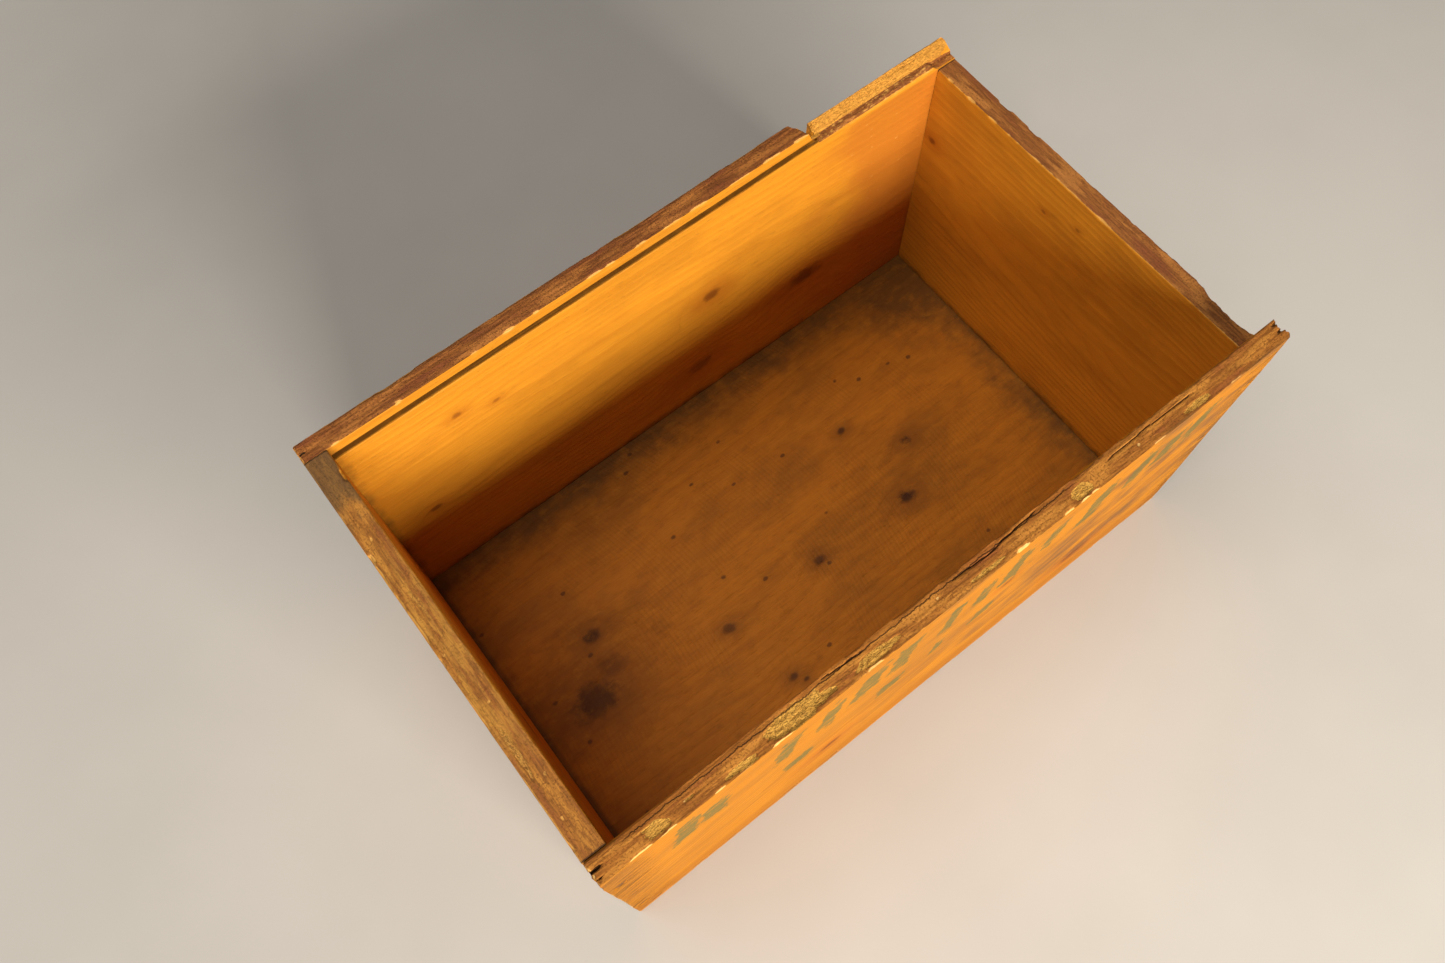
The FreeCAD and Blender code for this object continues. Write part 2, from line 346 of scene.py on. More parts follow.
def crack(piece, level, path, width, depth, seed):
    """A V-shaped crack in an upward face, along a path of (x, y) points."""
    path = np.array(path, float)
    x, y = piece.points[:, 0], piece.points[:, 1]
    line = np.interp(x, path[:, 0], path[:, 1])
    line = line + 0.45 * fractal(piece.points, (5, ENDLESS, ENDLESS), seed)
    ends = ramp(x, path[0, 0] - 1, path[0, 0] + 4) * ramp(-x, -path[-1, 0] - 1, -path[-1, 0] + 4)
    near = np.clip(1 - np.abs(y - line) / width, 0, 1) * ends * (piece.points[:, 2] > level - 2.5)
    piece.points[:, 2] -= depth * near
    piece.mark("crack", ramp(near, 0.15, 0.6))


def split_end(piece, face_x, inward, y_line, top, drop, width, depth, seed):
    """A split that runs in from an end face, open at the rim and closing below."""
    x, y, z = piece.points.T
    line = y_line + 0.05 * (top - z) + 0.3 * fractal(piece.points, (ENDLESS, ENDLESS, 6), seed)
    gape = width * np.clip(1 - (top - z) / drop, 0, 1)
    near = np.clip(1 - np.abs(y - line) / np.maximum(gape, 0.05), 0, 1)
    reach = ramp(depth - np.abs(x - face_x), 0, depth)
    at_end = np.abs(x - face_x) < 0.4
    piece.points[:, 0] += inward * depth * near * at_end
    on_top = (z > top - 1.2) & ~at_end
    piece.points[:, 2] -= 3.0 * near * reach * on_top
    piece.mark("crack", ramp(near, 0.1, 0.5) * ramp(reach, 0.0, 0.3))


def sink_heads(piece, centres, axis, face):
    """Sunk seats round nail heads that are driven along an axis into a face."""
    sides = [side for side in range(3) if side != axis]
    inward = -np.sign(face) if axis != 2 else 1.0
    on_face = np.abs(piece.points[:, axis] - face) < 0.6
    for centre in centres:
        off = np.linalg.norm(piece.points[:, sides] - np.array(centre)[sides], axis=1)
        seat = ramp(HEAD_RADIUS + 1.1 - off, 0, 0.9) * on_face
        piece.points[:, axis] += inward * 0.9 * seat
        piece.mark("crack", ramp(HEAD_RADIUS + 1.5 - off, 0, 1.5) * on_face * 0.8)


def rim_weather(piece, level, seed):
    """Paints an upward-facing edge as weathered, and roughens it along the grain."""
    up = ramp(piece.facing[:, 2], 0.25, 0.8) * (piece.points[:, 2] > level - 1.2)
    ridges = fractal(piece.points, piece.grained(14, 0.9), seed, octaves=3)
    sag = fractal(piece.points, piece.grained(60, 30), seed + 5, octaves=2)
    piece.points[:, 2] -= up * (0.18 + 0.14 * ridges + 0.16 * sag)
    piece.mark("rim", up)


def wall_outline(outer, inner, low, high, radius, spacing, grooved=True):
    """A wall's section (across, up), with the lid's groove in its inner face if it has one.

    spacing is how low the fine points go, their distance, and the distance of the points
    below them in the outer and in the inner face.
    """
    corners = [(outer, low), (outer, high), (inner, high)]
    if grooved:
        back = inner + math.copysign(GROOVE_DEPTH, outer - inner)
        corners += [(inner, GROOVE_ROOF), (back, GROOVE_ROOF), (back, GROOVE_FLOOR), (inner, GROOVE_FLOOR)]
    corners.append((inner, low))
    fine_low, fine, outside, inside = spacing

    def step(point):
        if point[1] > high - 0.2:
            return 0.42
        if point[1] > fine_low:
            return fine
        return outside if abs(point[0] - outer) < 0.5 else inside

    return rounded_outline(corners, radius, step)


def finish_piece(obj, node, material):
    obj.data.materials.append(material)
    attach(obj, "root")
    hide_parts(node)


# ---------------------------------------------------------------- node graphs


class Graph:
    """Short calls that build one material's nodes.

    place is in millimetres, with its first number along the grain.  A tone is the name of a
    colour in tones, a colour or a socket.  colour and height are what is painted so far.
    """

    def __init__(self, name, grain="X", tones=None):
        self.material = bpy.data.materials.new(name)
        self.material.use_nodes = True
        self.tree = self.material.node_tree
        self.shader = self.tree.nodes["Principled BSDF"]
        self.tones = tones
        place = self.node("TexCoord", {}).outputs["Object"]
        self.place = self.vector("MULTIPLY", place, (1 / MM,) * 3)
        if grain == "Y":
            x, y, z = self.node("SeparateXYZ", {0: self.place}).outputs
            self.place = self.node("CombineXYZ", {0: y, 1: x, 2: z}).outputs[0]
        self.along, self.across, self.up = self.node("SeparateXYZ", {0: self.place}).outputs

    def feed(self, socket, value):
        if isinstance(value, bpy.types.NodeSocket):
            self.tree.links.new(value, socket)
        else:
            socket.default_value = value

    def node(self, kind, inputs, **settings):
        made = self.tree.nodes.new("ShaderNode" + kind)
        for name, value in settings.items():
            setattr(made, name, value)
        for socket, value in inputs.items():
            self.feed(made.inputs[socket], value)
        return made

    def math(self, operation, *values):
        """One operation, taken over all the values in turn."""
        if len(values) > 2 and operation != "MULTIPLY_ADD":
            values = (self.math(operation, *values[:-1]), values[-1])
        return self.node("Math", dict(enumerate(values)), operation=operation).outputs[0]

    def times(self, *values):
        return self.math("MULTIPLY", *values)

    def scaled(self, value, factor, added):
        return self.math("MULTIPLY_ADD", value, factor, added)

    def vector(self, operation, *values, output=0):
        return self.node("VectorMath", dict(enumerate(values)), operation=operation).outputs[output]

    def blend(self, share, first, second):
        """The first tone, giving way to the second by share."""
        inputs = {0: share}
        for socket, tone in ((6, first), (7, second)):
            tone = self.tones[tone] if isinstance(tone, str) else tone
            inputs[socket] = (*tone, 1) if isinstance(tone, tuple) else tone
        return self.node("Mix", inputs, data_type="RGBA").outputs[2]

    def band(self, value, low, high, start=0.0, end=1.0):
        """start at low, end at high, smooth between and held beyond."""
        inputs = {0: value, 1: low, 2: high, 3: start, 4: end}
        return self.node("MapRange", inputs, interpolation_type="SMOOTHSTEP").outputs[0]

    def squeezed(self, along, across):
        """The place in cells that many millimetres along and across the grain."""
        return self.vector("MULTIPLY", self.place, (1 / along, 1 / across, 1 / across))

    def noise(self, scale, detail=3.0, roughness=0.5, place=None):
        place = self.place if place is None else place
        inputs = {"Vector": place, "Scale": scale, "Detail": detail, "Roughness": roughness}
        return self.node("TexNoise", inputs).outputs[0]

    def streaks(self, along, across, detail=3.0, roughness=0.5):
        """Noise whose cells are longer with the grain; along and across are their size."""
        return self.noise(1.0, detail, roughness, self.squeezed(along, across))

    def painted(self, name):
        return self.node("Attribute", {}, attribute_name=name).outputs["Fac"]

    def paint(self, share, tone):
        self.colour = self.blend(share, self.colour, tone)

    def lift(self, value, amount):
        self.height = self.scaled(value, amount, self.height)

    def finish(self, roughness, bump_depth, bump_strength):
        bump = {"Height": self.height, "Distance": bump_depth * MM, "Strength": bump_strength}
        self.feed(self.shader.inputs["Base Color"], self.colour)
        self.feed(self.shader.inputs["Roughness"], roughness)
        self.feed(self.shader.inputs["Normal"], self.node("Bump", bump).outputs[0])
        return self.material


def knot_marks(graph, knots, flat):
    """Cores, the stain round them and the swelling of the rings, for knots through a board.

    A knot is (along, other, radius, strength); flat blanks out the board's thickness.
    """
    cores, stains, swells = [], [], []
    uneven = graph.noise(0.22, 4.0, 0.6)
    for along, other, radius, strength in knots:
        centre = (along, 0, other) if flat == (1, 0, 1) else (along, other, 0)
        off = graph.vector("SUBTRACT", graph.vector("MULTIPLY", graph.place, flat), centre)
        off = graph.vector("MULTIPLY", off, (0.68, 1, 1))
        off = graph.scaled(uneven, 1.4 * radius, graph.vector("LENGTH", off, output=1))
        cores.append(graph.band(off, 2.15 * radius, 1.1 * radius, 0, strength))
        stains.append(graph.band(off, 5.2 * radius, 1.5 * radius, 0, 0.6 * strength))
        swells.append(graph.band(off, 6.5 * radius, 1.0 * radius, 0, 1.6 * radius))
    core, stain = (graph.math("MAXIMUM", *marks, 0.0) for marks in (cores, stains))
    return core, stain, graph.math("ADD", *swells, 0.0)


def figured_wood(graph, pith, spacing, knots, flat):
    """Rings about a pith line, fibres, streaks, soiling and knots; gives back the fibres."""
    pith_across, pith_up, drift_across, drift_up = pith
    pith_line = graph.node("CombineXYZ", {
        1: graph.scaled(graph.along, drift_across, pith_across),
        2: graph.scaled(graph.along, drift_up, pith_up),
    }).outputs[0]
    from_pith = graph.vector("SUBTRACT", graph.vector("MULTIPLY", graph.place, (0, 1, 1)), pith_line)
    distance = graph.vector("LENGTH", from_pith, output=1)
    distance = graph.scaled(graph.streaks(150, 38, 2.0), 16.0, distance)
    distance = graph.scaled(graph.streaks(45, 11, 2.0), 2.2, distance)
    core, stain, swell = knot_marks(graph, knots, flat)
    rings = graph.math("FRACT", graph.math("DIVIDE", graph.math("ADD", distance, swell), spacing))
    late = graph.times(graph.band(rings, 0.25, 0.86), graph.band(rings, 1.0, 0.93))
    fibre = graph.streaks(22, 0.42, 5.0, 0.65)
    pores = graph.band(graph.streaks(6, 0.28, 2.0), 0.66, 0.74)

    tones = graph.tones
    graph.colour = graph.blend(graph.times(late, tones["figure"]), "early", "late")
    graph.paint(graph.band(fibre, 0.35, 0.7, 0, 0.38), "late")
    graph.paint(graph.band(graph.streaks(90, 2.6, 3.0, 0.6), 0.45, 0.75, 0, 0.5), "streak")
    graph.paint(graph.band(graph.streaks(60, 26, 3.0, 0.6), 0.42, 0.72, 0, tones["soil"]), "dirt")
    graph.paint(graph.times(pores, 0.45), "dirt")
    graph.paint(stain, "stain")
    graph.paint(core, "knot")

    near_end = graph.painted("checked")
    checks = graph.scaled(near_end, tones["checks"], graph.streaks(26, 0.6))
    checks = graph.times(graph.band(checks, 0.64, 0.70, 0, 0.8), graph.band(near_end, 0.02, 0.4))
    graph.paint(checks, "crack")
    graph.height = graph.scaled(fibre, 0.5, graph.times(late, 0.35))
    graph.lift(pores, -0.35)
    graph.lift(core, -0.3)
    graph.lift(checks, -1.2)
    return fibre


def weathered_rim(graph):
    """The open grain and handling wear of an upward edge; gives colour and height."""
    weather = graph.streaks(11, 0.75, 5.0, 0.66)
    colour = graph.blend(graph.band(weather, 0.36, 0.62), "rim_dark", "rim")
    patches = graph.streaks(24, 5, 4.0, 0.6)
    colour = graph.blend(graph.band(patches, 0.50, 0.60, 0, 0.8), colour, "rim_light")
    colour = graph.blend(graph.band(patches, 0.45, 0.36, 0, 0.65), colour, "rim_red")
    grit = graph.band(graph.noise(1.3, 3.0, 0.7), 0.54, 0.64)
    colour = graph.blend(graph.times(grit, 0.7), colour, "rim_dark")
    pale = graph.band(graph.streaks(1.1, 0.5, 3.0, 0.7), 0.62, 0.72)
    colour = graph.blend(graph.times(pale, 0.4), colour, "rim_light")
    return colour, graph.scaled(grit, -0.7, weather)


def raw_wood(graph):
    """Golden wood under a flake, full of fine dark pits; gives colour and height."""
    fibre = graph.streaks(3.5, 0.4, 4.0, 0.7)
    colour = graph.blend(graph.band(fibre, 0.35, 0.62), "raw_dark", "raw")
    curl = graph.math("SUBTRACT", graph.streaks(2.2, 0.75, 2.0, 0.6), 0.5)
    pits = graph.band(graph.math("ABSOLUTE", curl), 0.035, 0.008)
    colour = graph.blend(graph.times(pits, graph.tones["pitted"]), colour, "pit")
    return colour, graph.scaled(pits, -0.8, fibre)


def pine(name, grain, pith, spacing, knots, tones, extra=None, flat=(1, 0, 1)):
    """Aged pine: figured wood, then dirt with painted shade, the weathered rim, worn arrises, raw wood
    and cracks where the mesh is painted so.  pith is (across, up) and its drift with the grain;
    extra(graph) adds a board's own marks."""
    graph = Graph(name, grain, tones)
    fibre = figured_wood(graph, pith, spacing, knots, flat)

    # Dirt together with painted shade: darkens the corners, the foot of the walls, the floor's edges and
    # the lid groove.
    painted = graph.painted("grime")
    grime = graph.math("ADD", painted, graph.scaled(graph.noise(0.09, 4.0, 0.65), 1.1, -0.45))
    grime = graph.times(graph.band(grime, 0.2, 1.0), graph.band(painted, 0, 0.25), 0.8)
    graph.paint(grime, "grime")

    uneven = graph.scaled(graph.noise(0.9), 0.5, -0.25)
    rim = graph.band(graph.math("ADD", graph.painted("rim"), uneven), 0.35, 0.6)
    rim_colour, rim_height = weathered_rim(graph)
    graph.paint(rim, rim_colour)
    graph.lift(graph.times(rim_height, rim), 0.9)

    arris = graph.scaled(graph.streaks(2.6, 1.0, 4.0, 0.65), 1.3, graph.painted("arris"))
    graph.paint(graph.band(arris, 1.08, 1.3, 0, 0.85), "arris")

    raw = graph.band(graph.math("ADD", graph.painted("raw"), uneven), 0.4, 0.6)
    raw_colour, raw_height = raw_wood(graph)
    graph.paint(raw, raw_colour)
    graph.lift(graph.times(raw_height, raw), 1.2)

    if extra:
        extra(graph)
    graph.paint(graph.band(graph.math("ADD", graph.painted("crack"), uneven), 0.3, 0.7, 0, 0.9), "crack")
    graph.shader.inputs["Specular IOR Level"].default_value = tones["shine"]
    gloss = graph.scaled(rim, 0.2, graph.scaled(fibre, 0.22, tones["gloss"]))
    return graph.finish(graph.scaled(raw, 0.15, gloss), bump_depth=0.35, bump_strength=0.8)


PINE_TONES = {
    "early": (0.74, 0.315, 0.022),
    "late": (0.49, 0.155, 0.008),
    "streak": (0.60, 0.215, 0.012),
    "dirt": (0.34, 0.122, 0.010),
    "stain": (0.40, 0.10, 0.007),
    # Dark tone for dirt and for painted shade in corners and recesses.
    "knot": (0.15, 0.036, 0.005),
    "grime": (0.10, 0.046, 0.010),
    "arris": (0.73, 0.38, 0.085),
    "raw": (0.66, 0.34, 0.075),
    "raw_dark": (0.43, 0.19, 0.035),
    "pit": (0.17, 0.065, 0.014),
    "crack": (0.04, 0.018, 0.007),
    "pitted": 0.8,
    "figure": 0.3,
    "soil": 0.35,
    "gloss": 0.45,
    "shine": 0.25,
    "checks": 0.07,
}


def rim_tones(red, green, blue):
    """A weathered colour with its dark, light and purplish companions."""
    return {
        "rim": (red, green, blue),
        "rim_dark": (0.56 * red, 0.52 * green, 0.60 * blue),
        "rim_light": (1.34 * red, 1.48 * green, 1.5 * blue),
        "rim_red": (0.66 * red, 0.52 * green, 0.85 * blue),
    }


# ---------------------------------------------------------------- long sides

def side_plank(name, outer, inner, low, high):
    """A long side before its wear."""
    outline = wall_outline(outer, inner, low[2], RIM, 0.5, (GROOVE_FLOOR - 4, 0.7, 2.2, 3.2))
    return swept(name, outline, stations(low[0], high[0], 0.55, 0.95, 12), "X", 1.1)


def near_side():
    """The near side: flaked rim with cracks and chips, splits at both of its ends."""
    outer, inner = NEAR_LOW[1], NEAR_HIGH[1]
    piece = Piece(side_plank("near_side_plank", outer, inner, NEAR_LOW, NEAR_HIGH), "X")
    rng = np.random.default_rng(21)
    bow(piece, 0.16, (110, 40, 40), 1)
    rim_weather(piece, RIM, 2)
    for x, from_inner, reach, depth, strength in (
        (-143, 6.3, (6, 2.2), 0.35, 0.9), (-107, 8, (9, 1.5), 0.3, 0.8),
        (-80, 5.6, (14.5, 4.7), 0.5, 1.0), (-45, 6.6, (11, 2.0), 0.3, 0.62),
        (57.5, 6.2, (5.5, 2.4), 0.4, 1.0), (118, 7.5, (9, 1.4), 0.3, 0.65),
        (-128, 5.2, (2.2, 0.7), 0.2, 0.8), (8, 7.5, (9, 1.0), 0.25, 0.6),
    ):
        flake_off(piece, RIM, (x, inner - from_inner), reach, depth, 5 + int(x) % 17, strength)
    for x, from_inner in ((-129.9, 5.2), (-71, 2.6), (-14, 4.4), (88, 5.9)):
        dab(piece, RIM, (x, inner - from_inner), 0.7)
    outer_chips = [
        (-152, 6, 0.7), (-118, 3, 0.5), (-90, 5, 0.7), (-47.5, 4, 0.8), (24.5, 4, 0.9),
        (47.5, 3, 0.9), (56.5, 2.5, 0.8), (61.5, 2, 0.7), (96, 4, 0.5), (138, 4, 0.6),
    ]
    outer_chips += random_chips(rng, -168, 168, 26, (0.8, 3), (0.2, 0.4))
    wear_arris(piece, (0, outer, RIM), (0, -1, 1), (0.25, 0.5), outer_chips, 10, pale=0.92)
    inner_chips = random_chips(rng, -165, 165, 22, (2, 8), (0.3, 0.7))
    wear_arris(piece, (0, inner, RIM), (0, 1, 1), (0.4, 0.9), inner_chips, 12, pale=0.1, fresh=0.25)
    low_chips = random_chips(rng, -165, 165, 12, (1.5, 5), (0.3, 0.6))
    wear_arris(piece, (0, outer, NEAR_LOW[2]), (0, -1, -1), (0.3, 0.6), low_chips, 13, pale=0.3)
    for width, depth, seed, path in (
        (0.4, 0.6, 14, [(-68, 1.3), (-59, 1.9), (-46, 2.3)]),
        (0.45, 0.9, 15, [(-6, 2.5), (1, 2.6), (10.7, 3.3), (20, 2.6), (27, 2.0), (39, 1.1)]),
        (0.4, 0.6, 16, [(72, 3.2), (95, 2.6), (121, 3.4)]),
    ):
        crack(piece, RIM, [(x, inner - off) for x, off in path], width, depth, seed)
    left, right = NEAR_LOW[0], NEAR_HIGH[0]
    for face_x, way, off, drop, width, depth, seed in (
        (left, 1, 4.5, 11, 0.7, 6.5, 17), (left, 1, 7.9, 16, 0.45, 4.0, 18),
        (right, -1, 2.2, 9, 0.6, 4.0, 19), (right, -1, 5.6, 13, 0.7, 5.0, 20),
    ):
        split_end(piece, face_x, way, inner - off, RIM, drop, width, depth, seed)
    ragged_end(piece, right, -1, 2.2, 22)
    ragged_end(piece, left, 1, 1.0, 23)
    for end, way in ((left, 1), (right, -1)):
        wear_arris(piece, (end, outer, 0), (-way, -1, 0), (0.3, 0.8), [], 24)
        wear_arris(piece, (end, 0, RIM), (-way, 0, 1), (0.4, 1.3), [], 25)
    check_ends(piece, outer)
    sink_heads(piece, heads_in("corner_nails_near"), 1, outer)
    side_grime_and_shade(piece, inner, 1)
    finish_piece(piece.settle(), "near_side_board", near_side_material())


def ragged_end(piece, face_x, inward, reach, seed):
    """Wears an end face back unevenly, most at the rim."""
    x, _, z = piece.points.T
    at_end = np.abs(x - face_x) < 0.6 * reach + 0.5
    high = ramp(z, RIM - 45, RIM)
    lump = np.clip(0.45 + 0.7 * fractal(piece.points, (ENDLESS, 1.6, 9), seed), 0, 1)
    limit = face_x + inward * reach * high * lump
    piece.points[:, 0] = np.where(((x - limit) * inward < 0) & at_end, limit, x)
    piece.mark("rim", np.where(np.abs(x - face_x) < 0.5, 0.55 * high + 0.15, 0))


def side_grime_and_shade(piece, inner, way):
    """Dirt and painted shade low on the inner face and by the left end, and painted shade in the lid
    groove.
    """
    x, y, z = piece.points.T
    inside = np.abs(y - inner) < 0.8
    low = ramp(FLOOR + 9 - z, 0, 9)
    corners = ramp(-x, -LEFT_HIGH[0] - 7, -LEFT_HIGH[0])
    # Dirt and painted shade low on the inner face and in the corner by the left end.
    piece.mark("grime", inside * np.maximum(0.6 * low, 0.5 * corners))
    # Painted shade in the lid groove, where the lip shades it.
    in_groove = ((inner - y) * -way < -0.6) & (z > GROOVE_FLOOR - 0.4) & (z < GROOVE_ROOF + 0.4)
    off_outer = np.abs(y - inner) < GROOVE_DEPTH + 0.6
    piece.mark("grime", in_groove * off_outer * 0.85)


def split_cutter():
    """What split off the far rim: a rough surface that slopes up to the outer face."""
    inner, outer = FAR_LOW[1], FAR_HIGH[1]
    back = inner + GROOVE_DEPTH
    slope = (BREAK_DROP - LIP_HEIGHT - GROOVE_HEIGHT) / -(outer - back)
    past = outer + 3
    low = GROOVE_FLOOR + 0.05
    outline = [(inner - 4, low), (back - 0.05, low)]
    outline += [(y, low + slope * (y - back)) for y in np.arange(back, past, 0.4)]
    outline += [(past, RIM + 5), (inner - 4, RIM + 5)]
    places = np.arange(BREAK_START, HALF_LENGTH + 4, 0.8)
    cutter = swept("split_cutter", np.array(outline), places, "X", 2.0)
    piece = Piece(cutter, "X")
    x, y, z = piece.points.T
    on_slope = (z < RIM) & (y > back + 0.3)
    fibres = fractal(piece.points, (26, 1.1, ENDLESS), 31, octaves=3)
    steps = np.round(1.3 * fractal(piece.points, (40, 3.2, ENDLESS), 33, octaves=2)) * 0.3
    falls = ramp(x, HALF_LENGTH - 8, HALF_LENGTH + 2) * 1.8
    piece.points[:, 2] += on_slope * (0.15 * fibres + steps - falls)
    return piece.settle()


def notch_cutter():
    """The chip at the start of the split, widest at the outer face."""
    outer, end, low = FAR_HIGH[1], BREAK_START + 0.2, RIM - NOTCH_DROP
    corners = [
        (end, outer + 3), (BREAK_START - NOTCH_WIDTH, outer + 3), (BREAK_START - NOTCH_WIDTH, outer),
        (BREAK_START - NOTCH_WIDTH / 2, outer - NOTCH_REACH), (end, outer - NOTCH_REACH),
    ]
    outline = rounded_outline(corners, 0.3, lambda point: 0.6)
    flat = swept("notch_cutter", outline, np.arange(low, RIM + 4, 0.8), "X", 1.2)
    upright = Matrix(((0, 1, 0, 0), (0, 0, 1, 0), (1, 0, 0, 0), (0, 0, 0, 1)))
    flat.data.transform(upright)
    piece = Piece(flat, "X")
    piece.push(0.3 * fractal(piece.points, (2.2, 1.4, 9), 35))
    floor = piece.points[:, 2] < low + 1.5
    piece.points[:, 2] -= floor * (piece.points[:, 1] - outer) * 0.5
    return piece.settle()


def far_side():
    """The far side: its rim has split off beyond a chip, down to the lid groove."""
    inner, outer = FAR_LOW[1], FAR_HIGH[1]
    plank = side_plank("far_side_plank", outer, inner, FAR_LOW, FAR_HIGH)
    cut_away(plank, split_cutter())
    cut_away(plank, notch_cutter())
    piece = Piece(plank, "X")
    rng = np.random.default_rng(41)
    broken = ramp(piece.points[:, 0], BREAK_START - 0.4, BREAK_START)
    fresh = broken * (piece.points[:, 1] > inner + GROOVE_DEPTH + 0.2)
    fresh = fresh * (piece.points[:, 2] > GROOVE_FLOOR + 0.01) * (piece.facing[:, 2] > 0.25)
    bow(piece, 0.16, (110, 40, 40), 42)
    rim_weather(piece, RIM, 43)
    lip_chips = [
        (-155, 2.5, 0.6), (-127, 1.6, 1.1), (-90.7, 2, 0.6), (-74, 3, 0.7), (-61, 2, 0.6),
        (-32, 5, 0.7), (-24, 3, 0.8), (-8, 4, 0.6), (8, 6, 0.6), (22, 6, 0.8), (44, 7, 0.7),
        (62, 6, 0.7), (78, 5, 0.8),
    ]
    lip_chips += random_chips(rng, -165, 88, 18, (0.8, 2.5), (0.2, 0.4))
    wear_arris(piece, (0, inner, RIM), (0, -1, 1), (0.25, 0.5), lip_chips, 44, pale=0.42, fresh=0.8)
    outer_chips = random_chips(rng, -165, 85, 14, (4, 14), (0.3, 0.9))
    wear_arris(piece, (0, outer, RIM), (0, 1, 1), (0.5, 1.2), outer_chips, 45, pale=0.1, fresh=0.0)
    low_part = broken * (piece.points[:, 2] < GROOVE_FLOOR + 0.5)
    worn = [(140, 36, 1.0)] + random_chips(rng, 100, 165, 5, (5, 12), (0.7, 1.3))
    wear_arris(piece, (0, inner, GROOVE_FLOOR), (0, -1, 1), (0.4, 0.8), worn, 47, 0.3, 0.4, low_part)
    high_part = broken * (piece.points[:, 2] > GROOVE_FLOOR - 1)
    split_top = (0, outer, RIM - BREAK_DROP)
    wear_arris(piece, split_top, (0, 1, 1), (0.6, 1.4), [], 52, 0.0, 0.0, high_part)
    low_chips = random_chips(rng, -165, 165, 12, (1.5, 5), (0.4, 0.8))
    wear_arris(piece, (0, outer, FAR_LOW[2]), (0, 1, -1), (0.3, 0.6), low_chips, 48, pale=0.3)
    left, right = FAR_LOW[0], FAR_HIGH[0]
    split_end(piece, left, 1, inner + 4.2, RIM, 10, 0.6, 4.0, 49)
    tip = ramp(piece.points[:, 2], GROOVE_FLOOR - 25, GROOVE_FLOOR + 4)
    piece.shave((right, outer, 0), (1, 1, 0), 1.3 * tip)
    piece.shave((right, outer, 0), (2.2, 1, 0), 0.9 * tip)
    for end, way in ((left, 1), (right, -1)):
        wear_arris(piece, (end, outer, 0), (-way, 1, 0), (0.4, 1.2), [], 50)
        wear_arris(piece, (end, 0, RIM), (-way, 0, 1), (0.4, 1.2), [], 51)
    sink_heads(piece, heads_in("corner_nails_far"), 1, outer)
    piece.mark("raw", fresh)
    taper_lip(piece, inner)
    sink_shelf(piece, inner, broken)
    shelf = broken * (piece.points[:, 1] < inner + GROOVE_DEPTH + 0.2)
    shelf = shelf * (piece.points[:, 2] > GROOVE_FLOOR - 4.5) * (piece.facing[:, 2] > 0.3)
    piece.mark("rim", shelf)
    piece.mark("arris", 0.42 * shelf)
    check_ends(piece, outer)
    side_grime_and_shade(piece, inner, -1)
    piece.paint["grime"] = piece.paint["grime"] * (1 - broken)
    finish_piece(piece.settle(), "far_side_board", far_side_material())


def taper_lip(piece, inner):
    """Breaks the lip down to the split just past the chip in the rim."""
    x, y, z = piece.points.T
    slant = 0.45 * (FAR_HIGH[1] - y)
    limit = RIM - (LIP_HEIGHT - 0.4) * ramp(x, BREAK_START - 12 + slant, BREAK_START - 4)
    limit = limit + 0.3 * fractal(piece.points, (3, 1.5, ENDLESS), 55)
    limit = np.maximum(limit, GROOVE_ROOF + 0.3)
    over = (y < inner + GROOVE_DEPTH + 2.2) & (z > limit)
    over = over & (x > BREAK_START - 14) & (x < BREAK_START + 1)
    piece.points[:, 2] = np.where(over, limit, z)
    piece.mark("raw", over * 0.8)


def sink_shelf(piece, inner, broken):
    """Brings the open groove floor down to the right end's top, where the two meet."""
    x, y, z = piece.points.T
    drop = (GROOVE_FLOOR - RIGHT_HIGH[2]) * ramp(x, RIGHT_LOW[0] - 5, RIGHT_LOW[0] + 1)
    limit = GROOVE_FLOOR - drop
    over = (broken > 0.5) & (y < inner + GROOVE_DEPTH + 0.15) & (z > limit) & (z < GROOVE_FLOOR + 1)
    piece.points[:, 2] = np.where(over & (drop > 0.05), limit, z)


def check_ends(piece, outer):
    """Paints the outer face near the board's ends, where drying opens fine checks."""
    outside = np.abs(piece.points[:, 1] - outer) < 1.2
    to_end = ramp(np.abs(piece.points[:, 0]), HALF_LENGTH - 30, HALF_LENGTH - 3)
    piece.mark("checked", outside * to_end)


# ---------------------------------------------------------------- ends and bottom


def end_grime_and_shade(piece, inner, top):
    """Dirt and painted shade inside, low and in the near corner, and the dark joints with the sides on
    top.
    """
    x, y, z = piece.points.T
    joint = ramp(np.abs(y), LEFT_HIGH[1] - 1.0, LEFT_HIGH[1] - 0.3)
    piece.mark("crack", 0.75 * joint * (z > top - 1.5))
    inside = np.abs(x - inner) < 0.8
    low = ramp(FLOOR + 8 - z, 0, 8)
    corners = ramp(-y, LEFT_HIGH[1] - 6, LEFT_HIGH[1])
    # Dirt and painted shade, low inside and in the corner at the near side.
    piece.mark("grime", inside * np.maximum(0.6 * low, 0.5 * corners))


def end_board(name, outer, inner, low, high, seed, grooved):
    """An end board with a slow bow and a weathered top, before its other wear."""
    spacing = (high[2] - 14, 0.8, 3.0, 3.0)
    outline = wall_outline(outer, inner, low[2], high[2], 0.45, spacing, grooved)
    piece = Piece(swept(name, outline, stations(low[1], high[1], 0.6, 0.8, 8), "Y", 1.6), "Y")
    bow(piece, 0.12, (40, 90, 40), seed)
    rim_weather(piece, high[2], seed + 1)
    return piece


